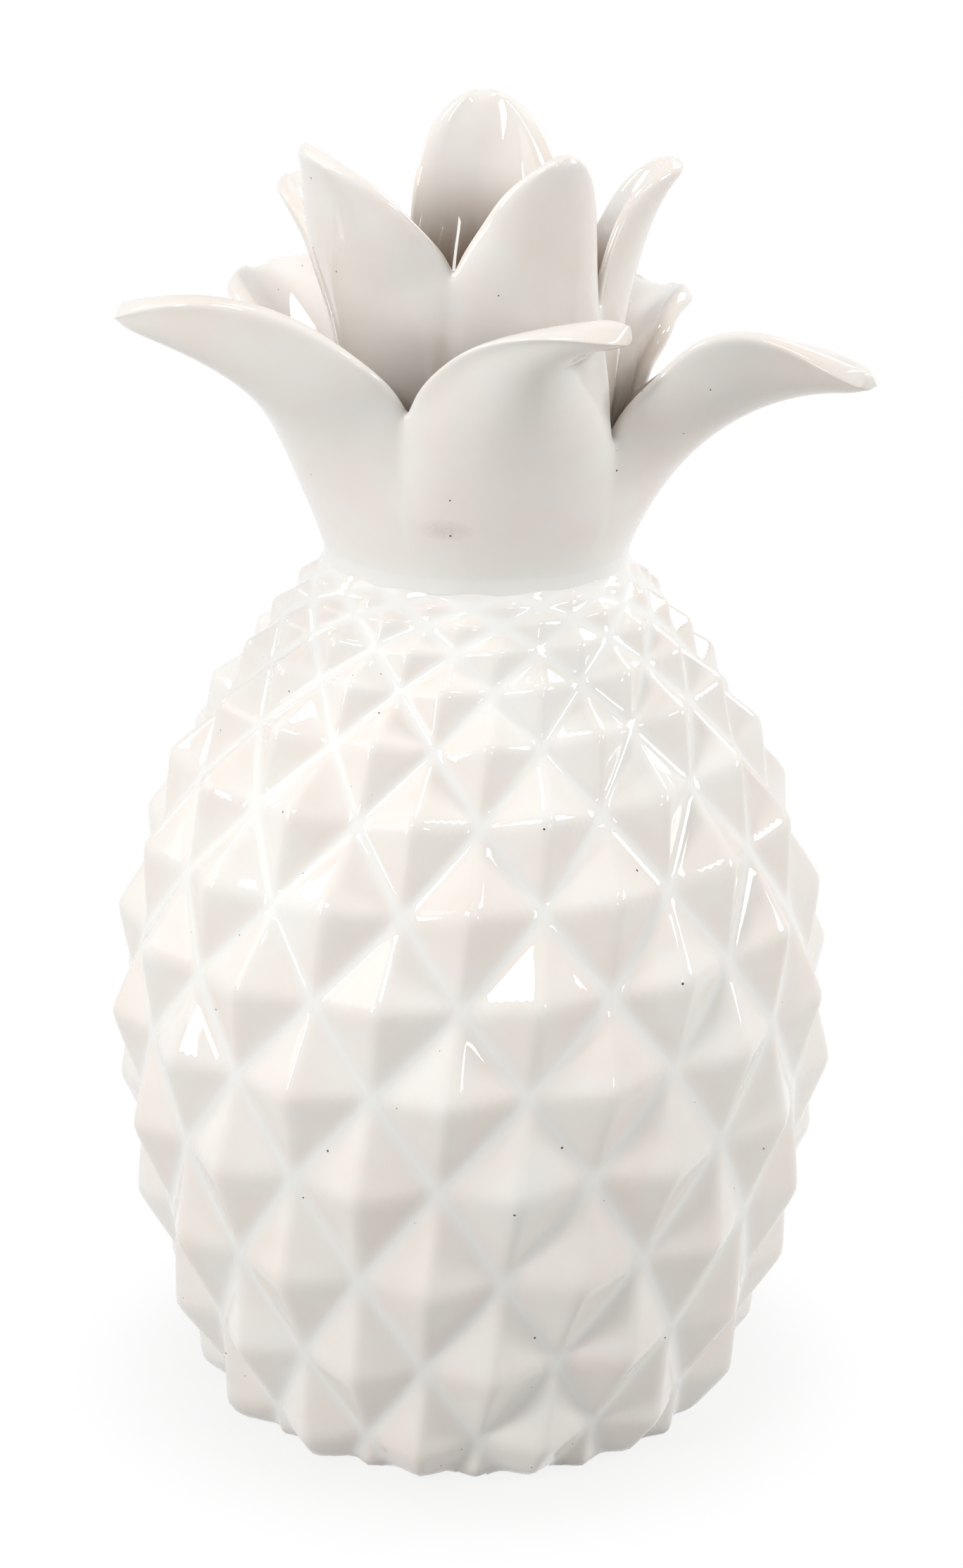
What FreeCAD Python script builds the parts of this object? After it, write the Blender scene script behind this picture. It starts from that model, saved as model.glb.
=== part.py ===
import FreeCAD, Part
import Sketcher
import math
import os

# Pineapple figurine of slip-cast, glazed earthenware: a hollow fruit with a diamond
# lattice of pyramids, a small cup that closes its neck, and two whorls of five leaves.
# The origin is the middle of the foot, on the table. +Z is up and -Y is the front.

os.makedirs("parts", exist_ok=True)
doc = FreeCAD.newDocument("pineapple_figurine")
sheet = doc.addObject("Spreadsheet::Sheet", "sizes")
origin = FreeCAD.Vector(0, 0, 0)
up = FreeCAD.Vector(0, 0, 1)

# Driving sizes: millimetres, degrees for turns, swings and sectors, and counts.
fruit_sizes = {
    "fruit_radius": 78,        # to the grooves, at the widest row
    "neck_radius": 34,
    "neck_height": 200,
    "pyramid_height": 6.8,     # above the grooves, on the widest rows
    "fruit_wall": 5,
    "fruit_floor": 5,
    "neck_wall": 7,
    "mouth_radius": 20,
    "foot_recess_radius": 46,
    "foot_recess_depth": 2,
    "vent_radius": 5,
    "lattice_angle": -13.4,    # of the first groove crossing, which is on the neck
    "slant_angle": 14.1,       # turn from one falling groove to the next
    "falling_grooves": 14,
    "rising_grooves": 15,
}
crown_sizes = {
    "crown_radius": 33,        # outside of the outer whorl, where it stands on the neck
    "outer_wall": 4.5,
    "outer_stem": 19.5,
    "outer_flare": 6.5,
    "outer_valley_share": 0.30,
    "slip_gap": 0.4,           # between neighbouring castings
    "cup_gap": 0.9,            # round the cup, inside the outer whorl
    "cup_height": 20,
    "cup_floor": 4,
    "spigot_depth": 5,
    "inner_wall": 4,
    "inner_stem": 27,
    "inner_flare": 4,
    "inner_valley_share": 0.30,
}

# Each leaf: turn of its middle, swing of its tip, sector, greatest half width, tip radius, tip
# height above the leaf's foot, the run and rise of the last handle of its midrib curve, how deep
# it is cupped, and how far its right rim stands over its left one.
leaf_columns = ("turn_angle", "swing_angle", "sector_angle", "half_width", "reach", "rise",
                "arch_run", "arch_rise", "cup_share", "bank_share")
outer_leaves = {
    "outer_leaf_front": (11.5, 15, 71, 20, 71, 61, 16, 0, 0.7, -0.25),
    "outer_leaf_right": (82, -9, 70, 28.5, 90, 43.5, 33, -2.5, 1.1, -0.4),
    "outer_leaf_back_right": (150, -12, 66, 26, 68, 46, 20, -3, 0.7, 0),
    "outer_leaf_back_left": (-137, 6, 80, 30, 72, 50, 18, -6, 0.7, -0.3),
    "outer_leaf_left": (-60.5, -18, 73, 30, 81, 55, 28, -6, 1.2, 0.45),
}
inner_leaves = {
    "inner_leaf_front_right": (23, 2, 68, 16, 43.5, 74, 4, -17, 1, 0),
    "inner_leaf_right": (95, 3, 76, 17, 45.5, 65, 11, -8, 1, 0),
    "inner_leaf_back": (174, 5.5, 72, 19, 46.5, 76.5, 8, -17, 1, 0),
    "inner_leaf_back_left": (-116.5, -3, 67, 19, 50, 58, 14, -8, 1, 0),
    "inner_leaf_front_left": (-47, -7.5, 72, 22, 47, 73.5, 6, -17, 1, 0),
}

# Half width of a blade from its foot to its tip, in equal steps, as shares of its greatest,
# and its outside depth as shares of the radius on which its whorl stands.
outer_width_shares = (0.84, 0.92, 1.0, 0.97, 0.83, 0.61, 0.38)
outer_depth_shares = (0.19, 0.20, 0.33, 0.45, 0.42, 0.31, 0.15)
inner_width_shares = (0.86, 0.94, 1.0, 1.0, 0.92, 0.76, 0.50)
inner_depth_shares = (0.19, 0.22, 0.27, 0.30, 0.30, 0.24, 0.12)
station_shares = (0.0, 0.10, 0.20, 0.30, 0.38, 0.46, 0.55, 0.65, 0.75, 0.84, 0.92, 0.97, 0.992)
tilt_end_share = 0.45
clasp_share = 0.45            # of the blade, over which it leaves its neighbours
tip_wall_share = 0.35
tip_power = 9
swing_power = 3
follow_share = 0.8            # how far a section turns to face where a swinging leaf goes

# Rows of groove crossings from the neck down to just below the foot: each height as a
# share of neck_height, and each radius as a share of the way from neck to widest row.
row_height_shares = (1.0, 0.986, 0.969, 0.944, 0.905, 0.850, 0.778, 0.690,
                     0.595, 0.498, 0.390, 0.270, 0.152, 0.044, -0.060)
row_radius_shares = (0.0, 0.055, 0.115, 0.195, 0.29, 0.45, 0.64, 0.82,
                     0.94, 1.0, 0.98, 0.895, 0.75, 0.575, 0.40)
rows_above_neck = 2
neck_relief_share = 0.20      # least relief of the small pyramids beside the neck


def fill_sheet():
    row = 1
    tables = [fruit_sizes, crown_sizes]
    for leaves in (outer_leaves, inner_leaves):
        for leaf, values in leaves.items():
            tables.append({leaf + "_" + column: value for column, value in zip(leaf_columns, values)})
    for table in tables:
        for alias, value in table.items():
            sheet.set("A" + str(row), alias)
            sheet.set("B" + str(row), str(value))
            sheet.setAlias("B" + str(row), alias)
            row += 1
    doc.recompute()


def size(alias):
    return float(sheet.get(alias))


def eased(share):
    # from 0 to 1, level at both ends
    return share ** 2 * (3 - 2 * share)


def on_table(table, place):
    # smooth curve through equal steps of a table, straight on past its ends
    last = len(table) - 1
    step = min(max(int(math.floor(place)), 0), last - 1)
    part = place - step
    here = table[step]
    after = table[step + 1]
    if part < 0 or part > 1:
        return here + (after - here) * part
    before = table[step - 1] if step > 0 else here + here - after
    beyond = table[step + 2] if step < last - 1 else after + after - here
    bend = (2 * before - 5 * here + 4 * after - beyond) * part ** 2
    twist = (3 * here - before - 3 * after + beyond) * part ** 3
    return here + ((after - before) * part + bend + twist) / 2


def fruit_row(place):
    share = on_table(row_radius_shares, place) if place > 0 else 0
    radius = size("neck_radius") + (size("fruit_radius") - size("neck_radius")) * share
    return radius, size("neck_height") * on_table(row_height_shares, place)


def lattice_point(falling, rising, apex=False):
    # falling and rising count grooves of each family, so a whole pair is a crossing
    ups = size("rising_grooves")
    downs = size("falling_grooves")
    place = 2 * (falling * ups + rising * downs) / (ups + downs)
    slant = math.radians(size("slant_angle"))
    lean = (2 * math.pi - slant * downs) / ups
    turn = math.radians(size("lattice_angle")) + lean * rising - slant * falling
    radius, height = fruit_row(place)
    if apex:
        above = fruit_row(place - 1)
        below = fruit_row(place + 1)
        run = math.hypot(below[0] - above[0], below[1] - above[1])
        widest = 2 * math.pi * size("fruit_radius") / ups
        flattening = min(1, run / widest, radius / size("fruit_radius") + neck_relief_share)
        lift = size("pyramid_height") * flattening
        radius += lift * (above[1] - below[1]) / run
        height += lift * (below[0] - above[0]) / run
    return FreeCAD.Vector(radius * math.sin(turn), -radius * math.cos(turn), height)


def fruit_lattice():
    # one pyramid of four faces on each cell, then a fan to close each end
    ups = int(size("rising_grooves"))
    downs = int(size("falling_grooves"))
    points = []
    numbers = {}
    faces = []
    edges = {}

    def number(falling, rising, apex=False):
        turns = falling // downs
        key = (falling - turns * downs, rising + turns * ups, apex)
        if key not in numbers:
            numbers[key] = len(points)
            half = 0.5 if apex else 0
            points.append(lattice_point(key[0] + half, key[1] + half, apex))
        return numbers[key]

    rows = len(row_height_shares)
    for falling in range(downs):
        for rising in range(-2 * rows, 2 * rows):
            place = 2 * (falling * ups + rising * downs) / (ups + downs)
            if place < -rows_above_neck or place > rows - rows_above_neck:
                continue
            ring = [number(falling, rising), number(falling + 1, rising),
                    number(falling + 1, rising + 1), number(falling, rising + 1)]
            top = number(falling, rising, True)
            for start, end in zip(ring, ring[1:] + ring[:1]):
                faces.append((start, end, top))
                edges[(start, end)] = place
    rims = [(pair, place) for pair, place in edges.items() if (pair[1], pair[0]) not in edges]
    for wanted_low in (False, True):
        rim = [pair for pair, place in rims if (place > rows / 2) == wanted_low]
        middle = sum((points[pair[0]] for pair in rim), origin) / len(rim)
        points.append(FreeCAD.Vector(0, 0, middle.z))
        faces.extend((end, start, len(points) - 1) for start, end in rim)
    shell = Part.Shape()
    shell.makeShapeFromMesh((points, faces), size("slip_gap") / 100)
    solid = Part.Solid(shell.Shells[0])
    if solid.Volume < 0:
        solid.reverse()
    return solid


def fruit_hollow():
    wall = size("fruit_wall")
    top = size("neck_height") - size("neck_wall")
    floor = size("foot_recess_depth") + size("fruit_floor")
    outline = []
    for place in range(len(row_height_shares)):
        radius, height = fruit_row(place)
        if floor < height < top:
            outline.append(FreeCAD.Vector(radius - wall, 0, height))
    first = FreeCAD.Vector(outline[0].x, 0, top)
    last = FreeCAD.Vector(outline[-1].x, 0, floor)
    curve = Part.BSplineCurve()
    curve.interpolate([first] + outline + [last])
    top_middle = FreeCAD.Vector(0, 0, top)
    low_middle = FreeCAD.Vector(0, 0, floor)
    wire = Part.Wire([curve.toShape(), Part.makeLine(last, low_middle),
                      Part.makeLine(low_middle, top_middle), Part.makeLine(top_middle, first)])
    return Part.Face(wire).revolve(origin, up, 360)


def cylinder(name, radius, bottom, height):
    shape = doc.addObject("Part::Cylinder", name)
    shape.setExpression("Radius", radius)
    shape.setExpression("Height", height)
    shape.setExpression("Placement.Base.z", bottom)
    return shape


def feature(name, shape):
    made = doc.addObject("Part::Feature", name)
    made.Shape = shape
    made.Placement = FreeCAD.Placement(origin, FreeCAD.Rotation())
    return made


def make_fruit():
    lattice = feature("fruit_lattice", fruit_lattice())
    hollow = feature("fruit_hollow", fruit_hollow())
    envelope = cylinder("fruit_envelope", "sizes.fruit_radius + 2 * sizes.pyramid_height", "0",
                        "sizes.neck_height")
    mouth = cylinder("mouth_cut", "sizes.mouth_radius", "sizes.neck_height - 2 * sizes.neck_wall",
                     "3 * sizes.neck_wall")
    recess = cylinder("foot_recess", "sizes.foot_recess_radius", "-sizes.foot_recess_depth",
                      "2 * sizes.foot_recess_depth")
    vent = cylinder("vent_cut", "sizes.vent_radius", "0",
                    "sizes.foot_recess_depth + 2 * sizes.fruit_floor")
    trimmed = doc.addObject("Part::Common", "fruit_trimmed")
    trimmed.Base = lattice
    trimmed.Tool = envelope
    tools = doc.addObject("Part::MultiFuse", "fruit_cuts")
    tools.Shapes = [hollow, mouth, recess, vent]
    fruit = doc.addObject("Part::Cut", "fruit_cut")
    fruit.Base = trimmed
    fruit.Tool = tools
    return fruit


def make_cup():
    # turned cup: a spigot in the neck's mouth, a floor on the neck and a wall for the leaves
    body = doc.addObject("PartDesign::Body", "cup_body")
    plane = [item for item in body.Origin.OriginFeatures if item.Role == "XZ_Plane"][0]
    sketch = body.newObject("Sketcher::SketchObject", "cup_outline")
    sketch.AttachmentSupport = [(plane, "")]
    sketch.MapMode = "FlatFace"
    spigot = "sizes.mouth_radius - sizes.slip_gap"
    outside = "sizes.crown_radius - sizes.outer_wall - sizes.cup_gap"
    inside = outside + " - sizes.inner_wall"
    low = "sizes.neck_height - sizes.spigot_depth"
    floor = "sizes.neck_height + sizes.cup_floor"
    top = "sizes.neck_height + sizes.cup_height"
    corners = [("0", low), (spigot, low), (spigot, "sizes.neck_height"), (outside, "sizes.neck_height"),
               (outside, top), (inside, top), (inside, floor), ("0", floor)]
    places = []
    for across, along in corners:
        places.append((float(sheet.evalExpression(across)), float(sheet.evalExpression(along))))
    following = list(range(1, len(corners))) + [0]
    for corner, after in enumerate(following):
        start, end = (FreeCAD.Vector(*places[number], 0) for number in (corner, after))
        sketch.addGeometry(Part.LineSegment(start, end), False)
    for corner, after in enumerate(following):
        sketch.addConstraint(Sketcher.Constraint("Coincident", corner, 2, after, 1))
    for corner, (across, along) in enumerate(corners):
        if across == "0":
            sketch.addConstraint(Sketcher.Constraint("PointOnObject", corner, 1, -2))
        else:
            bound = Sketcher.Constraint("DistanceX", -1, 1, corner, 1, places[corner][0])
            sketch.setExpression("Constraints[" + str(sketch.addConstraint(bound)) + "]", across)
        bound = Sketcher.Constraint("DistanceY", -1, 1, corner, 1, places[corner][1])
        sketch.setExpression("Constraints[" + str(sketch.addConstraint(bound)) + "]", along)
    turned = body.newObject("PartDesign::Revolution", "cup_turned")
    turned.Profile = sketch
    turned.ReferenceAxis = (sketch, ["V_Axis"])
    turned.Angle = 360
    body.Tip = turned
    return body


def leaf_section(whorl, leaf, share):
    # a crescent of two concentric arcs and two short rims, square to the midrib
    foot = whorl["foot_radius"]
    low = whorl["foot_height"]
    half = math.radians(size(leaf + "_sector_angle")) / 2
    reach = size(leaf + "_reach")
    top = low + size(leaf + "_rise")
    poles = [(foot, low), (foot + whorl["flare"], low + whorl["stem"]),
             (reach - size(leaf + "_arch_run"), top + size(leaf + "_arch_rise")), (reach, top)]
    rest = 1 - share
    weights = (rest ** 3, 3 * share * rest ** 2, 3 * share ** 2 * rest, share ** 3)
    slopes = (3 * rest ** 2, 6 * share * rest, 3 * share ** 2)
    radius = sum(weight * pole[0] for weight, pole in zip(weights, poles))
    height = sum(weight * pole[1] for weight, pole in zip(weights, poles))
    legs = list(zip(slopes, poles, poles[1:]))
    out = sum(slope * (end[0] - start[0]) for slope, start, end in legs)
    rise = sum(slope * (end[1] - start[1]) for slope, start, end in legs)
    tilt = math.atan2(out, rise) * eased(min(1, share / tilt_end_share))
    inward = (-math.cos(tilt), math.sin(tilt))

    steps = len(whorl["widths"]) - 1
    rounding = math.sqrt(1 - share ** tip_power)
    width = size(leaf + "_half_width") * on_table(whorl["widths"], share * steps) * rounding
    valley = whorl["valley"]
    blade = max(0, share - valley) / (1 - valley)
    cup = 1 + (size(leaf + "_cup_share") - 1) * eased(blade)
    bank = size(leaf + "_bank_share") * eased(blade)
    depth = foot * cup * on_table(whorl["depths"], share * steps) * rounding
    full_swing = math.radians(size(leaf + "_swing_angle"))
    swing = full_swing * blade ** swing_power
    swinging = full_swing * swing_power * blade ** (swing_power - 1) / (1 - valley)
    facing = swing + math.atan2(radius * swinging, math.hypot(out, rise)) * follow_share
    if share < valley:
        # part of a flared ring, whose rims lie in the planes between the leaves
        round_half = math.atan(math.tan(half) * math.cos(tilt))
        ring_depth = radius / math.cos(tilt) * (1 - math.cos(round_half))
        depth = ring_depth + max(0, depth - ring_depth) * (share / valley) ** 2
    sector_width = (radius - depth * math.cos(tilt)) * math.tan(half - abs(swing)) - size("slip_gap") / 2
    clasp = 1 - eased(min(1, blade / clasp_share))
    width = min(width, sector_width)
    width += (sector_width - width) * clasp
    wall = whorl["wall"] * max(tip_wall_share, rounding)
    opening = 2 * math.atan2(depth, width)
    curve = width / math.sin(opening)

    def point(round_radius, side):
        across = round_radius * math.sin(side * opening)
        lift = (curve - round_radius * math.cos(side * opening)) * (1 + side * bank)
        from_axis = radius + lift * inward[0]
        return FreeCAD.Vector(math.sin(swing) * from_axis + math.cos(facing) * across,
                              math.sin(facing) * across - math.cos(swing) * from_axis,
                              height + lift * inward[1])

    inside = max(curve - wall, curve * tip_wall_share)
    left, middle, right = (point(curve, side) for side in (-1, 0, 1))
    left_in, middle_in, right_in = (point(inside, side) for side in (-1, 0, 1))
    return Part.Wire([Part.Arc(left, middle, right).toShape(), Part.makeLine(right, right_in),
                      Part.Arc(right_in, middle_in, left_in).toShape(), Part.makeLine(left_in, left)])


def make_leaf(whorl, leaf):
    wires = [leaf_section(whorl, leaf, share) for share in station_shares]
    shape = Part.makeLoft(wires, True, False)
    made = doc.addObject("Part::Feature", leaf + "_casting")
    made.Shape = shape
    made.Placement = FreeCAD.Placement(origin, FreeCAD.Rotation(up, size(leaf + "_turn_angle")))
    return made


fill_sheet()
outer_whorl = {
    "foot_radius": size("crown_radius"),
    "foot_height": size("neck_height"),
    "stem": size("outer_stem"),
    "flare": size("outer_flare"),
    "wall": size("outer_wall"),
    "valley": size("outer_valley_share"),
    "widths": outer_width_shares,
    "depths": outer_depth_shares,
}
inner_whorl = {
    "foot_radius": size("crown_radius") - size("outer_wall") - size("cup_gap"),
    "foot_height": size("neck_height") + size("cup_height"),
    "stem": size("inner_stem"),
    "flare": size("inner_flare"),
    "wall": size("inner_wall"),
    "valley": size("inner_valley_share"),
    "widths": inner_width_shares,
    "depths": inner_depth_shares,
}

nodes = {"fruit_body": make_fruit(), "crown_cup": make_cup()}
for leaf in outer_leaves:
    nodes[leaf] = make_leaf(outer_whorl, leaf)
for leaf in inner_leaves:
    nodes[leaf] = make_leaf(inner_whorl, leaf)
for label, item in nodes.items():
    item.Label = label
doc.recompute()

for item in doc.Objects:
    if "Invalid" in item.State or "Error" in item.State:
        raise RuntimeError("object failed: " + item.Label)
for label, item in nodes.items():
    shape = item.Shape
    if shape.isNull() or not shape.isValid() or len(shape.Solids) != 1:
        raise RuntimeError("bad shape: " + label)
    shape.exportStep("parts/" + label + ".step")
    print(label, "volume", round(shape.Volume), "top", round(shape.BoundBox.ZMax, 1))
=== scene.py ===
import bpy
import bmesh
import math
from mathutils import Matrix, Vector


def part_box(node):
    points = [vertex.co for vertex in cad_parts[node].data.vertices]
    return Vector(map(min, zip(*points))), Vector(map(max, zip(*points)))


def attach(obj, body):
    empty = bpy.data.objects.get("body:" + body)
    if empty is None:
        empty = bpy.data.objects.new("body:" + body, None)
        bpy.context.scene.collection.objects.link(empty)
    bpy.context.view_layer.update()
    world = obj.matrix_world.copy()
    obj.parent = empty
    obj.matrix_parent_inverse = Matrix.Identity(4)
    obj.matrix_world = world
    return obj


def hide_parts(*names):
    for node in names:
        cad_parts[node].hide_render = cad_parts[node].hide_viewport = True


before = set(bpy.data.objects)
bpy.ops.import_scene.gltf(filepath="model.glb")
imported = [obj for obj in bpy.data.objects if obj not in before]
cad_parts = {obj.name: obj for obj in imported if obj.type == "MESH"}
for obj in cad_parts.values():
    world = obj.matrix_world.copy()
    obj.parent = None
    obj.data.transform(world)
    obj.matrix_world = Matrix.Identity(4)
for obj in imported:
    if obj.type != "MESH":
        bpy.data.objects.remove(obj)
scene = bpy.context.scene
mm = 0.001


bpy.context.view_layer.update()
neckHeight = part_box("fruit_body")[1].z
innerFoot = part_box("crown_cup")[1].z
print("frame loaded, neck at", round(neckHeight / mm, 1), "mm")


# Smooth helpers

def onTable(table, place):
    # smooth curve through equal steps, straight on past its ends
    last = len(table) - 1
    step = min(max(math.floor(place), 0), last - 1)
    part = place - step
    here, after = table[step], table[step + 1]
    if part < 0 or part > 1:
        return here + (after - here) * part
    before = table[step - 1] if step > 0 else 2 * here - after
    beyond = table[step + 2] if step < last - 1 else 2 * after - here
    bend = (2 * before - 5 * here + 4 * after - beyond) * part ** 2
    twist = (3 * here - before - 3 * after + beyond) * part ** 3
    return here + ((after - before) * part + bend + twist) / 2


def eased(share):
    share = min(max(share, 0), 1)
    return share ** 2 * (3 - 2 * share)


def softLow(first, second, width):
    # the lower of two slopes, the crease between them rounded over a width
    blend = max(0, 1 - abs(first - second) / width)
    return min(first, second) - blend ** 2 * width / 4


def around(radius, turn, height):
    # turn 0 faces the front, and grows towards +X
    return Vector((radius * math.sin(turn), -radius * math.cos(turn), height))


def linearColour(hexText):
    channels = [int(hexText[place:place + 2], 16) / 255 for place in (1, 3, 5)]
    return [c / 12.92 if c <= 0.04045 else ((c + 0.055) / 1.055) ** 2.4 for c in channels] + [1]


def newPiece(name, bm, materials, nodes):
    # a finished piece at the origin, in place of its CAD nodes
    mesh = bpy.data.meshes.new(name)
    bm.to_mesh(mesh)
    bm.free()
    for face in mesh.polygons:
        face.use_smooth = True
    for material in materials:
        mesh.materials.append(material)
    piece = bpy.data.objects.new(name, mesh)
    scene.collection.objects.link(piece)
    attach(piece, "root")
    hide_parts(*nodes)
    return piece


# Materials: one white earthenware body, dipped in a clear white glaze and fired to a high gloss

glazeLook = {
    "thick": "#EDEDEA",        # pooled glaze in the grooves, cool and milky
    "thin": "#EBE3DC",         # stretched glaze on faces and ridges, where the warm body shows
    "edge": "#D2BEA2",         # rims and tips, where the glaze ran off in the kiln
    "edgeShow": 0.15,
    "edgePower": 3,            # keeps that colour to the very rims
    "edgeBreakup": 6.5 * mm,   # size of the noise that breaks it up
    "bare": "#6E573F",         # painted shade: a dark warm brown for the hollow between the whorls
    "speck": "#5A4E44",
    "smudge": "#8F8A84",
    "smudgeShow": 0.55,
    "smudgeGrain": 0.8 * mm,
    "roughness": 0.025,
    "ior": 1.5,
    "mottleSize": 26 * mm,     # soft patches of thicker and thinner glaze
    "mottleShow": 0.7,
    "speckSpacing": 5 * mm,    # iron specks and pinholes
    "speckRadius": 0.32 * mm,
    "rippleSize": 16 * mm,     # the slow waves left in a dipped glaze
    "rippleHeight": 0.10 * mm,
}
footLook = {
    "body": "#DED3C2",
    "stain": "#B9A68C",
    "roughness": 0.85,
    "grainSize": 0.9 * mm,
    "grainHeight": 0.05 * mm,
}


def addNode(tree, kind, inputs=None, **settings):
    # a node with its settings, and its sockets set or linked by name or number
    node = tree.nodes.new(kind)
    for name, value in settings.items():
        setattr(node, name, value)
    for name, value in (inputs or {}).items():
        if isinstance(value, bpy.types.NodeSocket):
            tree.links.new(value, node.inputs[name])
        else:
            node.inputs[name].default_value = value
    return node


def mixColour(tree, share, first, second):
    # sockets 0, 6 and 7 are the share and the two colours of a colour mix
    return addNode(tree, "ShaderNodeMix", {0: share, 6: first, 7: second}, data_type="RGBA").outputs[2]


def newMaterial(name):
    material = bpy.data.materials.new(name)
    material.use_nodes = True
    tree = material.node_tree
    tree.nodes.clear()
    shader = addNode(tree, "ShaderNodeBsdfPrincipled")
    addNode(tree, "ShaderNodeOutputMaterial", {"Surface": shader.outputs[0]})
    return material, tree, shader


def glazedEarthenware(name, smudges):
    look = glazeLook
    material, tree, shader = newMaterial(name)
    place = addNode(tree, "ShaderNodeTexCoord").outputs["Object"]
    pooled = addNode(tree, "ShaderNodeAttribute", attribute_name="pooled").outputs["Fac"]
    thinned = addNode(tree, "ShaderNodeAttribute", attribute_name="thinned").outputs["Fac"]
    thinned = addNode(tree, "ShaderNodeMath", {0: thinned, 1: look["edgePower"]},
                      operation="POWER").outputs[0]

    mottle = addNode(tree, "ShaderNodeTexNoise", {
        "Vector": place, "Scale": 1 / look["mottleSize"], "Detail": 3, "Roughness": 0.55}).outputs["Fac"]
    mottle = addNode(tree, "ShaderNodeMapRange", {
        "Value": mottle, "From Min": 0.35, "From Max": 0.65, "To Min": 0, "To Max": look["mottleShow"]})
    thickness = addNode(tree, "ShaderNodeMath", {0: mottle.outputs[0], 1: pooled}, operation="MAXIMUM")
    colour = mixColour(tree, thickness.outputs[0], linearColour(look["thin"]), linearColour(look["thick"]))

    # brown where the glaze ran off the rims, broken up by a finer noise
    broken = addNode(tree, "ShaderNodeTexNoise", {
        "Vector": place, "Scale": 1 / look["edgeBreakup"], "Detail": 4, "Roughness": 0.6}).outputs["Fac"]
    edge = addNode(tree, "ShaderNodeMath", {0: broken, 1: thinned}, operation="MULTIPLY")
    edge = addNode(tree, "ShaderNodeMapRange", {
        "Value": edge.outputs[0], "From Min": 0.1, "From Max": 0.75,
        "To Min": 0, "To Max": look["edgeShow"]})
    colour = mixColour(tree, edge.outputs[0], colour, linearColour(look["edge"]))

    # painted shade, darkening the hollows between and inside the whorls towards a warm brown
    paintedShade = addNode(tree, "ShaderNodeAttribute", attribute_name="paintedShade").outputs["Fac"]
    colour = mixColour(tree, paintedShade, colour, linearColour(look["bare"]))

    # specks: one dot in some cells of a jittered grid, each of its own size
    cells = addNode(tree, "ShaderNodeTexVoronoi", {
        "Vector": place, "Scale": 1 / look["speckSpacing"], "Randomness": 1})
    reach = addNode(tree, "ShaderNodeSeparateColor", {"Color": cells.outputs["Color"]})
    size = addNode(tree, "ShaderNodeMapRange", {
        "Value": reach.outputs[0], "From Min": 0.55, "From Max": 1, "To Min": 0,
        "To Max": look["speckRadius"] / look["speckSpacing"]})
    inside = addNode(tree, "ShaderNodeMath", {0: cells.outputs["Distance"], 1: size.outputs[0]},
                     operation="LESS_THAN")
    colour = mixColour(tree, inside.outputs[0], colour, linearColour(look["speck"]))

    for centre, radii in smudges:
        # a faint grey touch of kiln dust, a fine grain that fades out from its middle
        local = addNode(tree, "ShaderNodeMapping", {
            "Vector": place, "Location": [-c / r for c, r in zip(centre, radii)],
            "Scale": [1 / r for r in radii]})
        fade = addNode(tree, "ShaderNodeTexGradient", {"Vector": local.outputs[0]},
                       gradient_type="SPHERICAL")
        grain = addNode(tree, "ShaderNodeTexNoise", {
            "Vector": place, "Scale": 1 / look["smudgeGrain"], "Detail": 3}).outputs["Fac"]
        dust = addNode(tree, "ShaderNodeMath", {0: fade.outputs["Fac"], 1: grain}, operation="MULTIPLY")
        faint = addNode(tree, "ShaderNodeMath", {0: dust.outputs[0], 1: look["smudgeShow"]},
                        operation="MULTIPLY")
        colour = mixColour(tree, faint.outputs[0], colour, linearColour(look["smudge"]))

    ripple = addNode(tree, "ShaderNodeTexNoise", {
        "Vector": place, "Scale": 1 / look["rippleSize"], "Detail": 1.5, "Roughness": 0.4}).outputs["Fac"]
    bump = addNode(tree, "ShaderNodeBump", {
        "Height": ripple, "Distance": look["rippleHeight"], "Strength": 1})
    tree.links.new(colour, shader.inputs["Base Color"])
    tree.links.new(bump.outputs[0], shader.inputs["Normal"])
    shader.inputs["Roughness"].default_value = look["roughness"]
    shader.inputs["IOR"].default_value = look["ior"]
    return material


def wipedFoot():
    # bare fired body where the foot was wiped clean of glaze, chalky and matt
    look = footLook
    material, tree, shader = newMaterial("earthenware_wiped_foot")
    place = addNode(tree, "ShaderNodeTexCoord").outputs["Object"]
    grain = addNode(tree, "ShaderNodeTexNoise", {
        "Vector": place, "Scale": 1 / look["grainSize"], "Detail": 4, "Roughness": 0.6}).outputs["Fac"]
    colour = mixColour(tree, grain, linearColour(look["body"]), linearColour(look["stain"]))
    bump = addNode(tree, "ShaderNodeBump", {
        "Height": grain, "Distance": look["grainHeight"], "Strength": 1})
    tree.links.new(colour, shader.inputs["Base Color"])
    tree.links.new(bump.outputs[0], shader.inputs["Normal"])
    shader.inputs["Roughness"].default_value = look["roughness"]
    return material


# Fruit: a grid in groove coordinates, bent round the fruit, with a soft pyramid on each cell

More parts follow.
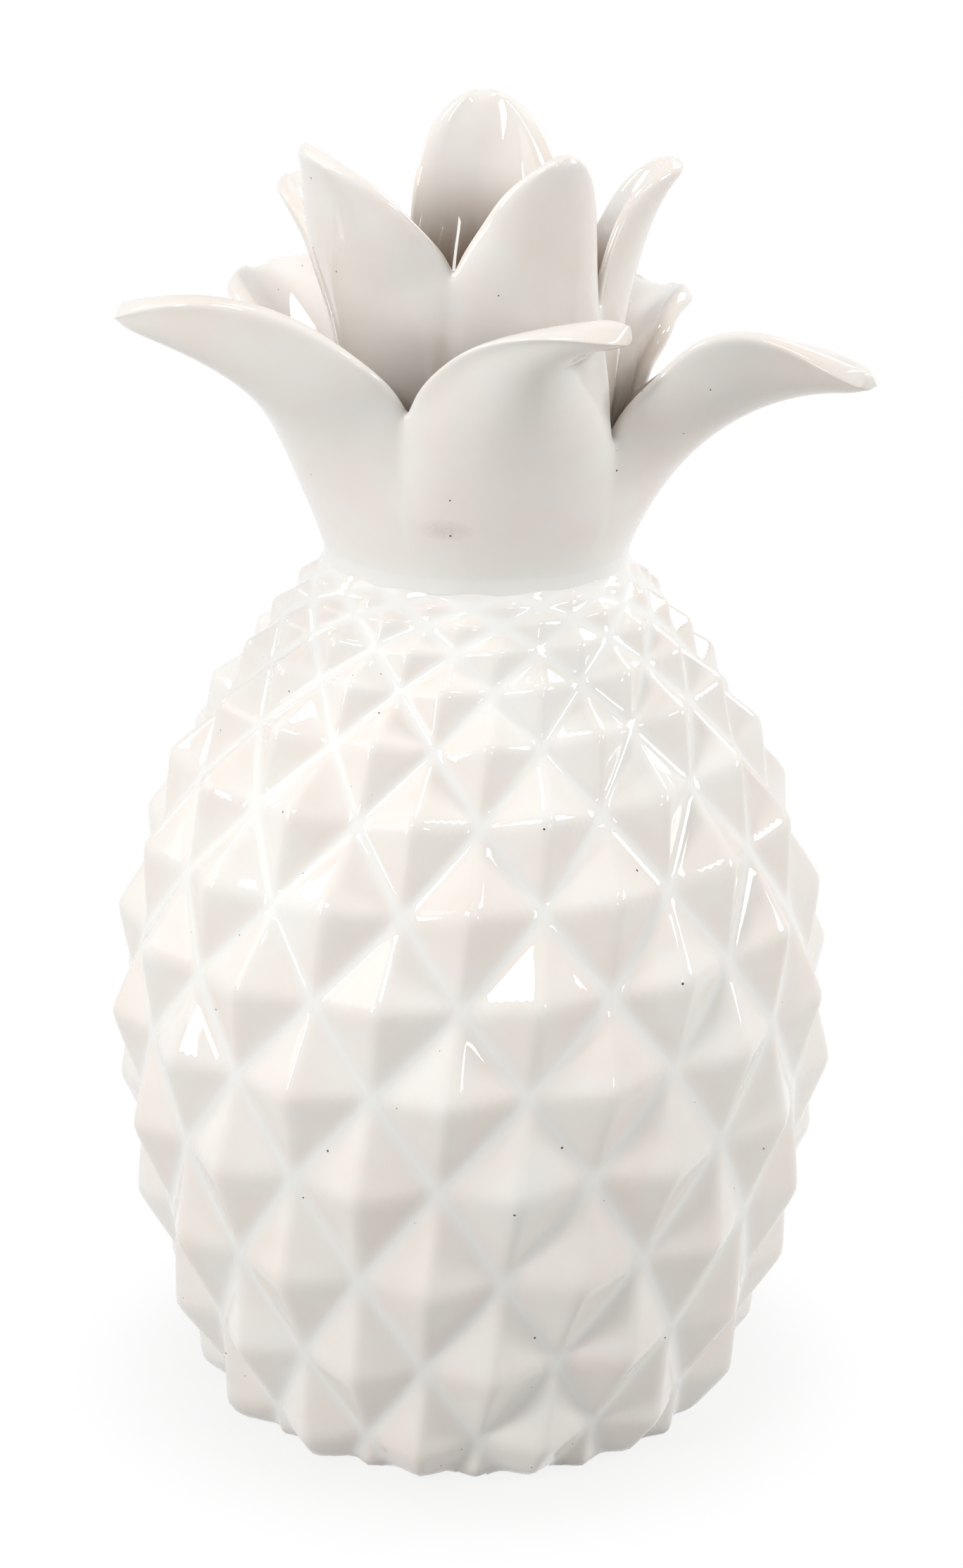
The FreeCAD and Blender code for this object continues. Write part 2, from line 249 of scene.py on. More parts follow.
fruitShape = {
    "widest": 78 * mm,         # radius in the grooves
    "neckRadius": 33.4 * mm,
    "pyramid": 6.8 * mm,       # height of the tallest pyramids
    "fallingGrooves": 14,
    "risingGrooves": 15,
    "fallingSlant": 14.1,      # degrees from one falling groove to the next, along a rising one
    "firstTurn": -13.4,        # and where the first crossing is
    "heightShares": (1.0, 0.986, 0.969, 0.944, 0.905, 0.850, 0.778, 0.690,
                     0.595, 0.498, 0.390, 0.270, 0.152, 0.044, -0.060),
    "radiusShares": (0.0, 0.055, 0.115, 0.195, 0.29, 0.45, 0.64, 0.82,
                     0.94, 1.0, 0.98, 0.895, 0.75, 0.575, 0.40),
    "neckRelief": 0.20,        # lets the small pyramids beside the neck stand up more
    "reliefStart": -0.7,       # row of the tables where the relief rises out of the collar
    "reliefRows": 2,           # and over how many rows it does
    "cellSteps": 16,           # mesh steps across a pyramid
    "spareRows": 1.5,          # rows above the neck that the grid has before it is cut level
    "weldDistance": 0.02 * mm,
    "grooveShare": 0.19,       # rounding of the groove, as a share of its distance to the tip
    "ridgeShare": 0.10,        # rounding of the ridges
    "mostSoftened": 4.5,       # how much more the smallest pyramids are rounded
    "flatShare": 0.75,         # how far each groove runs straight between its crossings
    "pooledShare": 0.25,       # share of the groove's rounding that is full of pooled glaze
    "pooledFade": 0.9,         # and over how much more of it that thins out
    "ridgeThinned": 0.25,      # how much glaze ran off the ridges, next to a leaf's rim
    "levelWithin": 0.01 * mm,
    "cutWithin": 0.001 * mm,
    "footRound": 3 * mm,
    "footPull": 0.8,           # share of that rounding by which the foot's edge draws in
    "mostUnder": 0.999,        # keeps the rounding just short of level
    "wipedHeight": 0.2 * mm,   # up to here the glaze is wiped off the foot
    "recessRadius": 46 * mm,
    "recessDepth": 2 * mm,
    "floor": 5 * mm,
    "ventRadius": 5 * mm,
    "wall": 5 * mm,
    "neckWall": 7 * mm,
    "mouthRadius": 20 * mm,
    "mouthRim": 1 * mm,        # bare rim round the mouth, under the crown
    "cavitySteps": 14,
}


def fruitRow(place):
    # radius in the grooves and height, at a place in the two tables
    shape = fruitShape
    share = onTable(shape["radiusShares"], place) if place > 0 else 0
    radius = shape["neckRadius"] + (shape["widest"] - shape["neckRadius"]) * share
    return radius, neckHeight * onTable(shape["heightShares"], place)


def groovePoint(falling, rising):
    # a place on the fruit, counted in grooves of both families, and the row it lies on
    shape = fruitShape
    ups, downs = shape["risingGrooves"], shape["fallingGrooves"]
    place = 2 * (falling * ups + rising * downs) / (ups + downs)
    slant = math.radians(shape["fallingSlant"])
    lean = (2 * math.pi - slant * downs) / ups
    turn = math.radians(shape["firstTurn"]) + lean * rising - slant * falling
    radius, height = fruitRow(place)
    return around(radius, turn, height), turn, place


def reliefPoint(falling, rising):
    # a place on the relief, how full of pooled glaze it is, and how near to a ridge
    shape = fruitShape
    smooth, turn, place = groovePoint(falling, rising)
    column, row = math.floor(falling), math.floor(rising)
    across, along = falling - column, rising - row

    corner = [groovePoint(column + x, row + y)[0] for x, y in ((0, 0), (1, 0), (0, 1), (1, 1))]
    flat = corner[0].lerp(corner[1], across).lerp(corner[2].lerp(corner[3], across), along)
    base = smooth.lerp(flat, shape["flatShare"])

    above, below = fruitRow(place - 1), fruitRow(place + 1)
    run = math.hypot(below[0] - above[0], below[1] - above[1])
    outward, upward = (above[1] - below[1]) / run, (below[0] - above[0]) / run
    widestCell = 2 * math.pi * shape["widest"] / shape["risingGrooves"]
    cell = min(1, run / widestCell)
    relief = min(cell, fruitRow(place)[0] / shape["widest"] + shape["neckRelief"])
    relief *= eased((place - shape["reliefStart"]) / shape["reliefRows"])

    # 0 on the grooves and 1 at the tip, with grooves, ridges and tips that the glaze has rounded by
    # about the same millimetres on small and large pyramids
    soften = min(1 / cell, shape["mostSoftened"])
    ridge = shape["ridgeShare"] * soften
    slopes = [1 - math.hypot(2 * part - 1, ridge / 2) + ridge / 4 for part in (across, along)]
    slope = max(0, softLow(*slopes, ridge))
    groove = shape["grooveShare"] * soften
    lift = slope - groove / 2 if slope > groove else slope ** 2 / (2 * groove)
    lift /= 1 - groove / 2
    point = base + around(outward, turn, upward) * (lift * relief * shape["pyramid"])
    pooled = 1 - eased((slope - groove * shape["pooledShare"]) / (groove * shape["pooledFade"]))
    ridgeNear = 1 - min(1, abs(slopes[0] - slopes[1]) / ridge)
    return point, pooled, ridgeNear * slope


def loopEdges(bm, height):
    # the open edges that lie level at the height
    within = fruitShape["levelWithin"]
    return [edge for edge in bm.edges if edge.is_boundary
            and all(abs(vert.co.z - height) < within for vert in edge.verts)]


def extrudeLoop(bm, edges, radius, height):
    # carries a rim to a circle of the radius, at the height
    made = bmesh.ops.extrude_edge_only(bm, edges=edges)["geom"]
    for item in made:
        if isinstance(item, bmesh.types.BMVert):
            turn = math.atan2(item.co.x, -item.co.y)
            item.co = around(radius, turn, height)
    return [item for item in made if isinstance(item, bmesh.types.BMEdge) and item.is_boundary]


def makeFruit(glaze, bare):
    shape = fruitShape
    steps = shape["cellSteps"]
    columns = shape["fallingGrooves"]
    rows = len(shape["heightShares"]) + 1
    lastRow = len(shape["heightShares"]) - 1
    bm = bmesh.new()
    bmesh.ops.create_grid(bm, x_segments=columns * steps, y_segments=2 * rows * steps, size=1)
    pooledLayer = bm.verts.layers.float.new("pooled")
    thinnedLayer = bm.verts.layers.float.new("thinned")
    outside = []
    for vert in bm.verts:
        falling = round((vert.co.x + 1) / 2 * columns * steps) / steps
        rising = round(vert.co.y * rows * steps) / steps
        place = groovePoint(falling, rising)[2]
        if place < -shape["spareRows"] or place > lastRow:
            outside.append(vert)
            continue
        vert.co, vert[pooledLayer], ridgeNear = reliefPoint(falling, rising)
        vert[thinnedLayer] = ridgeNear * shape["ridgeThinned"]
    bmesh.ops.delete(bm, geom=outside, context="VERTS")
    bmesh.ops.remove_doubles(bm, verts=bm.verts, dist=shape["weldDistance"])

    # cut level at the neck and the foot, and the foot's edge rounded under
    for height, normal in ((neckHeight, (0, 0, 1)), (0, (0, 0, -1))):
        bmesh.ops.bisect_plane(bm, geom=bm.verts[:] + bm.edges[:] + bm.faces[:], dist=shape["cutWithin"],
                               plane_co=(0, 0, height), plane_no=normal, clear_outer=True)
    for vert in bm.verts:
        if vert.co.z < shape["footRound"]:
            under = min(1 - vert.co.z / shape["footRound"], shape["mostUnder"])
            pull = (1 - math.sqrt(1 - under ** 2)) * shape["footRound"] * shape["footPull"]
            vert.co.xy = vert.co.xy * (1 - pull / vert.co.xy.length)
    top, low = loopEdges(bm, neckHeight), loopEdges(bm, 0)

    # under the foot: the ring, its recess, the vent, and the hollow up to the mouth
    floorTop = shape["recessDepth"] + shape["floor"]
    roof = neckHeight - shape["neckWall"]
    for radius, height in ((shape["recessRadius"], 0), (shape["recessRadius"], shape["recessDepth"]),
                           (shape["ventRadius"], shape["recessDepth"]), (shape["ventRadius"], floorTop)):
        low = extrudeLoop(bm, low, radius, height)
    for radius, height in ((shape["mouthRadius"], neckHeight), (shape["mouthRadius"], roof)):
        top = extrudeLoop(bm, top, radius, height)
    rowPlaces = [len(shape["heightShares"]) * part / shape["cavitySteps"]
                 for part in range(shape["cavitySteps"])]
    for place in reversed(rowPlaces):
        radius, height = fruitRow(place)
        if floorTop <= height <= roof:
            low = extrudeLoop(bm, low, radius - shape["wall"], height)
    bmesh.ops.bridge_loops(bm, edges=low + top)
    bmesh.ops.recalc_face_normals(bm, faces=bm.faces)
    for face in bm.faces:
        middle = face.calc_center_median()
        fromAxis = middle.xy.length
        onFoot = middle.z < shape["wipedHeight"]
        inRecess = fromAxis < shape["recessRadius"] and middle.z < floorTop
        inMouth = fromAxis < shape["mouthRadius"] + shape["mouthRim"] and middle.z > roof
        if onFoot or inRecess or inMouth:
            face.material_index = 1
    return newPiece("fruit_glazed", bm, [glaze, bare], ["fruit_body"])


# Crown: each whorl is a skirt that grows into five cupped blades, glazed over as one

# turn is where a leaf stands, swing how far its tip turns aside and sector how much of the skirt it
# takes, all in degrees. halfWidth, the reach and rise of its tip, and archRun and archRise, which
# bend it on its way there, are in millimetres. cup deepens it, bank lifts its right rim over its
# left one, blunt widens its tip, valley is where it parts from the next one, and roll is how much
# of the whorl's lip it has
leafColumns = ("turn", "swing", "sector", "halfWidth", "reach", "rise", "archRun", "archRise",
               "cup", "bank", "blunt", "valley", "roll")
outerWhorl = {
    "nodes": ["outer_leaf_front", "outer_leaf_right", "outer_leaf_back_right",
              "outer_leaf_back_left", "outer_leaf_left"],
    "leaves": [
        (11.5, 15, 71, 18, 70, 59.5, 16, 0, 0.72, -0.15, 0.1, 0.38, 1),
        (82, -9, 70, 29.5, 87.5, 42.5, 33, -2.5, 1.45, -0.5, 0.1, 0.42, 1),
        (147, -4, 66, 30, 69.5, 46.5, 20, -4, 1, 0, 0.75, 0.45, 0),
        (-136, 2, 80, 32, 73, 50.5, 18, -6, 0.8, -0.1, 0.5, 0.45, 0),
        (-60.5, -18, 73, 30.5, 79, 54, 28, -6, 1.5, 0.5, 0.15, 0.45, 1),
    ],
    "footRadius": 33 * mm,
    "footHeight": neckHeight,
    "stem": 19.5 * mm,         # a leaf's run starts out towards a point this far above its foot
    "flare": 6.5 * mm,         # and this far out from it
    "wall": 6 * mm,            # at the rims, which are thick rolled lips
    "skirtWall": 0.7,          # the wall low on the skirt, as a share of that
    "bladeWall": 0.9,          # and along the middle of a blade
    "edgeShare": 0.68,         # how thick the wall still is at the very rim
    "lip": 5 * mm,             # how far the rims roll outwards
    "valley": 0.45,            # share of a leaf's length at which the mesh of its blade starts
    "widthShares": (0.84, 0.92, 1.0, 0.97, 0.83, 0.61, 0.38),
    "depthShares": (0.19, 0.20, 0.33, 0.45, 0.42, 0.31, 0.15),
    "fillet": 0.9 * mm,        # how far the glaze at the foot spreads out over the fruit
    "filletDrop": 3 * mm,      # and how far down
    "paintedShadeEnd": 0.001,          # outside, the painted shade lies at the hidden foot alone
    "paintedShadeInside": 0.62,        # and inside up to this share of a leaf's length
}
innerWhorl = {
    "nodes": ["inner_leaf_front_right", "inner_leaf_right", "inner_leaf_back",
              "inner_leaf_back_left", "inner_leaf_front_left"],
    "leaves": [
        (22, 3.3, 68, 16.2, 43.5, 74, 4, -17, 1, 0, 0.1, 0.45, 1),
        (95, 3, 76, 17, 44.7, 65.3, 11, -8, 1, -0.3, 0.1, 0.45, 1),
        (177.5, 2, 77, 18.7, 46.5, 75.4, 8, -17, 1, 0, 0.3, 0.45, 1),
        (-116.5, -3, 67, 19.7, 50, 58, 14, -8, 1, 0, 0.1, 0.45, 1),
        (-47, -7.5, 72, 23.7, 47, 73.5, 6, -17, 1, 0.1, 0.1, 0.57, 1),
    ],
    "footRadius": 27.6 * mm,
    "footHeight": innerFoot,
    "stem": 27 * mm,
    "flare": 4 * mm,
    "wall": 4.2 * mm,
    "skirtWall": 0.9,
    "bladeWall": 0.9,
    "edgeShare": 0.45,
    "lip": 0.8 * mm,
    "valley": 0.48,
    "widthShares": (0.86, 0.94, 1.0, 1.0, 0.92, 0.76, 0.50),
    "depthShares": (0.19, 0.22, 0.27, 0.30, 0.30, 0.24, 0.12),
    "fillet": 0,
    "filletDrop": 0,
    "paintedShadeEnd": 0.50,           # hidden behind the outer whorl, the painted shade reaches up to here
    "paintedShadeInside": 0.75,
}
bladeShape = {
    "sidePlaces": (-1, -0.89, -0.77, -0.62, -0.42, -0.21, 0, 0.21, 0.42, 0.62, 0.77, 0.89, 1),
    "lipStart": 0.7,           # how far out from a leaf's middle its rim starts to roll
    "lipFrom": 0.9,            # share of the way to the valley at which the lip sets in
    "lipOver": 0.2,            # share of a leaf's length over which it grows
    "footShares": (0.02, 0.05),    # two closer mesh steps above the foot
    "skirtSteps": 8,
    "bladeSteps": 14,
    "lastShare": 0.995,
    "tipCrowding": 1.6,        # how much closer the mesh steps get towards the tip
    "ring": 0.30,              # up to here a leaf's section follows the round skirt
    "tiltEnd": 0.45,           # from here its section lies square to its run
    "clasp": 0.45,             # how far up its blade a leaf still fills its sector
    "tipPower": 9,             # how late a leaf rounds off into its tip
    "tipDepthPower": 1.5,      # and how much sooner it flattens there
    "follow": 0.8,             # how far a leaf's section turns to face where a swinging leaf goes
    "meet": 0.22,              # how soon past the valley a rim is its own leaf's again
    "wallFrom": 0.6,           # share of the way to the valley at which the wall thickens
    "capStart": 0.945,         # from here the wall rounds off into the tip
    "rimStart": 0.74,          # and from here into the rims
    "rimFrom": 0.93,           # share of the way to the valley at which the rims get round
    "rimOver": 0.25,           # and over how much of that way
    "coveEnd": 0.07,           # share of a leaf's length that the cove at its foot takes
    "rimPooled": 0.6,          # how full of glaze the creases between the leaves are
    "footPooled": 0.2,         # up to here glaze has pooled above the foot
    "tipThinned": 0.98,        # from here it has run off the tip
    "paintedShadeFade": 0.3,           # share of a leaf's length over which the painted shade fades out
}


def leafPoint(whorl, leaf, share, side, inward=0):
    # a point on the outside of a leaf, or that far in from it, side running from -1 to 1 between rims
    values = dict(zip(leafColumns, leaf))

    # its run from the foot to the tip, and how far the section leans out there
    foot, low = whorl["footRadius"], whorl["footHeight"]
    half = math.radians(values["sector"]) / 2
    reach, top = values["reach"] * mm, low + values["rise"] * mm
    poles = [(foot, low), (foot + whorl["flare"], low + whorl["stem"]),
             (reach - values["archRun"] * mm, top + values["archRise"] * mm), (reach, top)]
    rest = 1 - share
    weights = (rest ** 3, 3 * share * rest ** 2, 3 * share ** 2 * rest, share ** 3)
    slopes = (3 * rest ** 2, 6 * share * rest, 3 * share ** 2)
    radius = sum(weight * pole[0] for weight, pole in zip(weights, poles))
    height = sum(weight * pole[1] for weight, pole in zip(weights, poles))
    legs = list(zip(slopes, poles, poles[1:]))
    out = sum(slope * (end[0] - start[0]) for slope, start, end in legs)
    rise = sum(slope * (end[1] - start[1]) for slope, start, end in legs)
    tilt = math.atan2(out, rise) * eased(share / bladeShape["tiltEnd"])

    # half its width and its depth, which near the foot are those of the round skirt
    ring = bladeShape["ring"]
    blade = max(0, share - ring) / (1 - ring)
    rounding = math.sqrt(1 - share ** bladeShape["tipPower"])
    steps = len(whorl["widthShares"]) - 1
    widthShare = onTable(whorl["widthShares"], share * steps)
    widthShare += values["blunt"] * max(0, 1 - widthShare) * eased(share * 2 - 1)
    width = values["halfWidth"] * mm * widthShare * rounding
    cup = 1 + (values["cup"] - 1) * eased(blade)
    depth = foot * cup * onTable(whorl["depthShares"], share * steps)
    depth *= rounding ** bladeShape["tipDepthPower"]
    swing = math.radians(values["swing"]) * blade ** 3
    if share < ring:
        roundHalf = math.atan(math.tan(half) * math.cos(tilt))
        ringDepth = radius / math.cos(tilt) * (1 - math.cos(roundHalf))
        depth = ringDepth + max(0, depth - ringDepth) * (share / ring) ** 2
    sectorWidth = (radius - depth * math.cos(tilt)) * math.tan(half - abs(swing))
    clasp = 1 - eased(blade / bladeShape["clasp"])
    width = min(width, sectorWidth)
    width += (sectorWidth - width) * clasp

    # the section is an arc of that width and depth, whose rims roll out into the lip
    opening = 2 * math.atan2(depth, width)
    curve = width / math.sin(opening)
    rolled = max(0, (abs(side) - bladeShape["lipStart"]) / (1 - bladeShape["lipStart"])) ** 2
    grown = eased((share - whorl["valley"] * bladeShape["lipFrom"]) / bladeShape["lipOver"])
    edge = curve + whorl["lip"] * values["roll"] * rolled * grown * widthShare * rounding
    across = (edge - inward) * math.sin(side * opening)
    lift = (curve - edge * math.cos(side * opening)) * (1 + side * values["bank"] * eased(blade))
    lift += inward * math.cos(side * opening)
    fromAxis = radius - lift * math.cos(tilt)
    turn = math.radians(values["turn"]) + swing
    point = around(fromAxis, turn, height + lift * math.sin(tilt))
    swinging = 3 * math.radians(values["swing"]) * blade ** 2 / (1 - ring)
    facing = turn + math.atan2(radius * swinging, math.hypot(out, rise)) * bladeShape["follow"]
    point += Vector((math.cos(facing), math.sin(facing), 0)) * across
    return point


def whorlPoint(whorl, number, share, side, inward=0):
    # neighbours meet halfway between their rims up to their valley, and part above it
    leaves, valley = whorl["leaves"], whorl["valley"]
    sign = 1 if side > 0 else -1
    neighbour = leaves[(number + sign) % len(leaves)]
    pairValley = (leaves[number] if side > 0 else neighbour)[leafColumns.index("valley")]
    nearRim = eased(abs(side))
    shift = (pairValley - valley) * min(share / valley, (1 - share) / (1 - valley)) * nearRim
    point = leafPoint(whorl, leaves[number], share + shift, side, inward)
    fade = 1 - eased((share - valley) / bladeShape["meet"])
    if side == 0 or fade == 0:
        return point
    meetShare = min(1, share / valley) * pairValley
    own = leafPoint(whorl, leaves[number], meetShare, sign, inward)
    other = leafPoint(whorl, neighbour, meetShare, -sign, inward)
    return point + (other - own) / 2 * (nearRim * fade)


def makeWhorl(name, whorl, glaze):
    sides = bladeShape["sidePlaces"]
    columns = len(sides) - 1
    leafCount = len(whorl["leaves"])
    skirtSteps = bladeShape["skirtSteps"]
    skirt = [whorl["valley"] * step / skirtSteps for step in range(1, skirtSteps + 1)]
    blades = []
    for step in range(1, bladeShape["bladeSteps"] + 1):
        part = 1 - (1 - step / bladeShape["bladeSteps"]) ** bladeShape["tipCrowding"]
        blades.append(whorl["valley"] + (bladeShape["lastShare"] - whorl["valley"]) * part)

    bm = bmesh.new()
    bmesh.ops.create_circle(bm, segments=columns * leafCount, radius=whorl["footRadius"])
    bm.verts.ensure_lookup_table()
    pooledLayer = bm.verts.layers.float.new("pooled")
    thinnedLayer = bm.verts.layers.float.new("thinned")
    paintedShadeLayer = bm.verts.layers.float.new("paintedShade")
    insideLayer = bm.verts.layers.float_vector.new("inside")
    insidePaintedShadeLayer = bm.verts.layers.float.new("insidePaintedShade")
    ring = list(bm.verts)
    edges = list(bm.edges)
    slots = {}
    for order, vert in enumerate(ring):
        slots[vert] = (order // columns, order % columns)

    def placeVerts(share):
        for vert, (number, column) in slots.items():
            side = sides[column]
            rim = abs(side) == 1
            below = share <= whorl["valley"]
            pooled = max(bladeShape["rimPooled"] * rim, 1 - share / bladeShape["footPooled"])
            vert[pooledLayer] = pooled if below else 0
            vert[thinnedLayer] = 1 if not below and (rim or share > bladeShape["tipThinned"]) else 0
            # painted shade, darkest low between the whorls and fading out up the leaves
            vert[paintedShadeLayer] = eased(1 - share / whorl["paintedShadeEnd"])
            vert[insidePaintedShadeLayer] = eased((whorl["paintedShadeInside"] - share) / bladeShape["paintedShadeFade"])
            # above the skirt the wall thickens, most of all in the outer half of each side
            grown = eased(share / whorl["valley"] - bladeShape["wallFrom"])
            blade = whorl["bladeWall"] + (1 - whorl["bladeWall"]) * eased(abs(side) * 2 - 1)
            wall = whorl["wall"] * (whorl["skirtWall"] + (blade - whorl["skirtWall"]) * grown)
            # it ends in a half round at the rims and at the tip
            capRun = bladeShape["lastShare"] - bladeShape["capStart"]
            cap = max(0, share - bladeShape["capStart"]) / capRun
            rimPart = max(0, abs(side) - bladeShape["rimStart"]) / (1 - bladeShape["rimStart"])
            rimPart *= eased((share / whorl["valley"] - bladeShape["rimFrom"]) / bladeShape["rimOver"])
            rounded = math.sqrt(max(whorl["edgeShare"] ** 2, 1 - cap ** 2 - rimPart ** 2))
            vert.co = whorlPoint(whorl, number, share, side, wall * (1 - rounded) / 2)
            vert[insideLayer] = whorlPoint(whorl, number, share, side, wall * (1 + rounded) / 2)
            # a soft cove of glaze where the skirt stands on the fruit
            cove = max(0, 1 - share / bladeShape["coveEnd"]) ** 2
            vert.co.xy = vert.co.xy * (1 + whorl["fillet"] * cove / vert.co.xy.length)
            vert.co.z -= whorl["filletDrop"] * cove

    def extrudeRow(edges, share):
        nonlocal slots
        made = bmesh.ops.extrude_edge_only(bm, edges=edges)["geom"]
        newVerts = [item for item in made if isinstance(item, bmesh.types.BMVert)]
        newSlots = {}
        for vert in newVerts:
            for edge in vert.link_edges:
                below = edge.other_vert(vert)
                if below in slots:
                    newSlots[vert] = slots[below]
        slots = newSlots
        placeVerts(share)
        return [item for item in made if isinstance(item, bmesh.types.BMEdge)
                and all(vert in slots for vert in item.verts)]

    placeVerts(0)
    for share in (*bladeShape["footShares"], *skirt):
        edges = extrudeRow(edges, share)
    valleySlots, valleyEdges = slots, edges
    for number in range(leafCount):
        slots = {}
        for vert, (owner, column) in valleySlots.items():
            if owner == number:
                slots[vert] = (number, column)
            elif owner == (number + 1) % leafCount and column == 0:
                slots[vert] = (number, columns)
        edges = [edge for edge in valleyEdges if all(vert in slots for vert in edge.verts)]
        for share in blades:
            edges = extrudeRow(edges, share)

    # the inside of the wall, and its rims
    made = bmesh.ops.extrude_face_region(bm, geom=bm.faces[:], use_keep_orig=True)["geom"]
    for vert in (item for item in made if isinstance(item, bmesh.types.BMVert)):
        vert.co = vert[insideLayer]
        # the inside of the wall takes its own painted shade
        vert[paintedShadeLayer] = vert[insidePaintedShadeLayer]
    bm.verts.layers.float_vector.remove(bm.verts.layers.float_vector["inside"])
    bm.verts.layers.float.remove(bm.verts.layers.float["insidePaintedShade"])
    bmesh.ops.recalc_face_normals(bm, faces=bm.faces)
    piece = newPiece(name, bm, [glaze], whorl["nodes"])
    smooth = piece.modifiers.new("smooth", "SUBSURF")
    smooth.levels = 2
    smooth.render_levels = 2
    return piece


# Stage, camera and light

stageShape = {
    "cameraPlace": (1.7 * mm, -794.1 * mm, 412.5 * mm),
    "cameraDown": 18.56,       # degrees below the horizon
    "cameraRoll": 0.68,
    "focalPixels": 5240,       # in the picture's own pixels, of which it is 2227 high
    "pictureHeight": 2227,
    "sensor": 36,
    "clipStart": 50 * mm,
    "floorSize": 6,
    "floorColour": "#BEBEBC",
    "floorRoughness": 0.6,
    "whiteFrom": 62 * mm,      # from the figurine's middle, where the floor starts to fade to white
    "whiteBy": 100 * mm,       # and where it has
    "whiteNear": 0.85,         # how white the camera already sees it beside the figurine
    "roomColour": "#FFFDFA",
    "worldStrength": 0.25,
    "aimShare": 0.7,           # share of the fruit's height that the lights aim at
    "lightDistance": 1.6,
    "lights": [
        # name, azimuth from the front towards +X, elevation, width, height, watts
        ("key", -38, 38, 0.42, 0.25, 9.5),
        ("strip", -61, 12, 0.14, 0.5, 3.9),
        ("left", -80, 24, 0.8, 0.8, 2.6),
        ("leftBack", -118, 25, 0.3, 0.3, 2.4),
        ("right", 87, 22, 0.42, 0.34, 9.8),
        ("rightBack", 135, 35, 0.5, 0.6, 5.6),
        ("window", 52, 44, 0.36, 0.14, 2.7),
        ("low", 34, 16, 0.1, 0.2, 1.1),
        ("top", -60, 76, 0.36, 0.28, 5.2),
    ],
}


def seenDirectly(tree):
    # 1 for the camera and for what it sees mirrored or through a clear surface
    rays = addNode(tree, "ShaderNodeLightPath").outputs
    mirrored = addNode(tree, "ShaderNodeMath", {
        0: rays["Is Glossy Ray"], 1: rays["Is Transmission Ray"]}, operation="MAXIMUM")
    return addNode(tree, "ShaderNodeMath", {
        0: rays["Is Camera Ray"], 1: mirrored.outputs[0]}, operation="MAXIMUM").outputs[0]


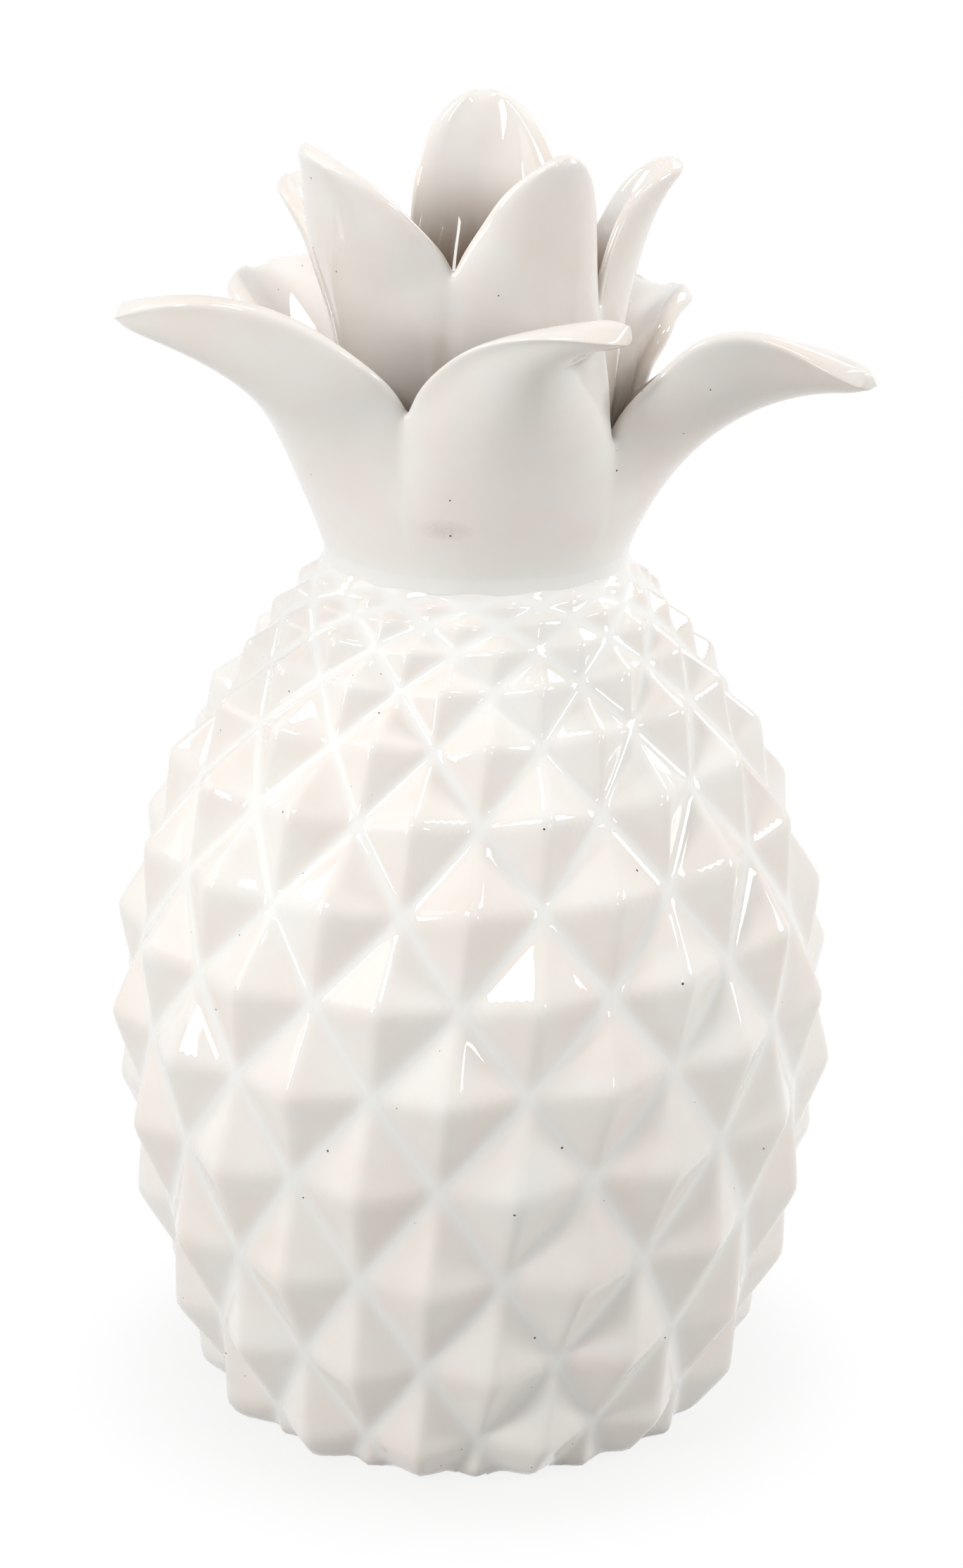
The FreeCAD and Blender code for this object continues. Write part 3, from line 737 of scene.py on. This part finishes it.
def makeStage():
    shape = stageShape
    bm = bmesh.new()
    bmesh.ops.create_grid(bm, x_segments=1, y_segments=1, size=shape["floorSize"] / 2)
    mesh = bpy.data.meshes.new("floor")
    bm.to_mesh(mesh)
    bm.free()
    floor = bpy.data.objects.new("floor", mesh)
    scene.collection.objects.link(floor)

    # a white sweep: bare floor round the figurine, plain white further out for the camera
    material, tree, shader = newMaterial("paper_sweep_white")
    shader.inputs["Base Color"].default_value = linearColour(shape["floorColour"])
    shader.inputs["Roughness"].default_value = shape["floorRoughness"]
    place = addNode(tree, "ShaderNodeTexCoord").outputs["Object"]
    away = addNode(tree, "ShaderNodeVectorMath", {0: place}, operation="LENGTH").outputs["Value"]
    fade = addNode(tree, "ShaderNodeMapRange", {
        "Value": away, "From Min": shape["whiteFrom"], "From Max": shape["whiteBy"]},
        interpolation_type="SMOOTHSTEP")
    share = addNode(tree, "ShaderNodeMapRange", {
        "Value": fade.outputs[0], "To Min": shape["whiteNear"], "To Max": 1})
    seen = addNode(tree, "ShaderNodeMath", {0: seenDirectly(tree), 1: share.outputs[0]},
                   operation="MULTIPLY")
    white = addNode(tree, "ShaderNodeEmission", {"Color": (1, 1, 1, 1), "Strength": 1})
    mixed = addNode(tree, "ShaderNodeMixShader", {
        0: seen.outputs[0], 1: shader.outputs[0], 2: white.outputs[0]})
    output = [node for node in tree.nodes if node.type == "OUTPUT_MATERIAL"][0]
    tree.links.new(mixed.outputs[0], output.inputs["Surface"])
    mesh.materials.append(material)

    world = bpy.data.worlds.new("studio")
    scene.world = world
    world.use_nodes = True
    tree = world.node_tree
    tree.nodes.clear()
    room = addNode(tree, "ShaderNodeBackground", {
        "Color": linearColour(shape["roomColour"]), "Strength": shape["worldStrength"]})
    white = addNode(tree, "ShaderNodeBackground", {"Color": (1, 1, 1, 1), "Strength": 1})
    mixed = addNode(tree, "ShaderNodeMixShader", {
        0: seenDirectly(tree), 1: room.outputs[0], 2: white.outputs[0]})
    addNode(tree, "ShaderNodeOutputWorld", {"Surface": mixed.outputs[0]})


def makeLights():
    aim = Vector((0, 0, neckHeight * stageShape["aimShare"]))
    distance = stageShape["lightDistance"]
    for name, azimuth, elevation, width, height, watts in stageShape["lights"]:
        level = distance * math.cos(math.radians(elevation))
        place = around(level, math.radians(azimuth), aim.z + distance * math.sin(math.radians(elevation)))
        lamp = bpy.data.lights.new(name, "AREA")
        lamp.shape = "RECTANGLE"
        lamp.size, lamp.size_y = width, height
        lamp.energy = watts
        light = bpy.data.objects.new(name, lamp)
        light.location = place
        light.rotation_euler = (aim - place).to_track_quat("-Z", "Y").to_euler()
        scene.collection.objects.link(light)


def makeCamera():
    shape = stageShape
    down, roll = math.radians(shape["cameraDown"]), math.radians(shape["cameraRoll"])
    back = Vector((0, -math.cos(down), math.sin(down)))
    level = Vector((0, math.sin(down), math.cos(down)))
    right = Vector((math.cos(roll), 0, 0)) + level * math.sin(roll)
    upward = Vector((-math.sin(roll), 0, 0)) + level * math.cos(roll)
    turned = Matrix((right, upward, back)).transposed().to_4x4()
    camera = bpy.data.objects.new("camera", bpy.data.cameras.new("camera"))
    camera.data.sensor_width = shape["sensor"]
    camera.data.lens = shape["focalPixels"] * shape["sensor"] / shape["pictureHeight"]
    camera.data.clip_start = shape["clipStart"]
    camera.matrix_world = Matrix.Translation(shape["cameraPlace"]) @ turned
    scene.collection.objects.link(camera)
    scene.camera = camera


# the smudge's middle and its radii
collarSmudge = ((-6 * mm, -36 * mm, 215 * mm), (6.5 * mm, 5 * mm, 3 * mm))
glaze = glazedEarthenware("earthenware_dipped_white_glaze", [collarSmudge])
bare = wipedFoot()
makeFruit(glaze, bare)
print("fruit made")
makeWhorl("outer_whorl_glazed", outerWhorl, glaze)
makeWhorl("inner_whorl_glazed", innerWhorl, glaze)
print("crown made")
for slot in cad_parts["crown_cup"].material_slots:
    slot.material = glaze
print("cup glazed")

makeStage()
makeLights()
makeCamera()
scene.view_settings.view_transform = "Standard"
print("stage made")
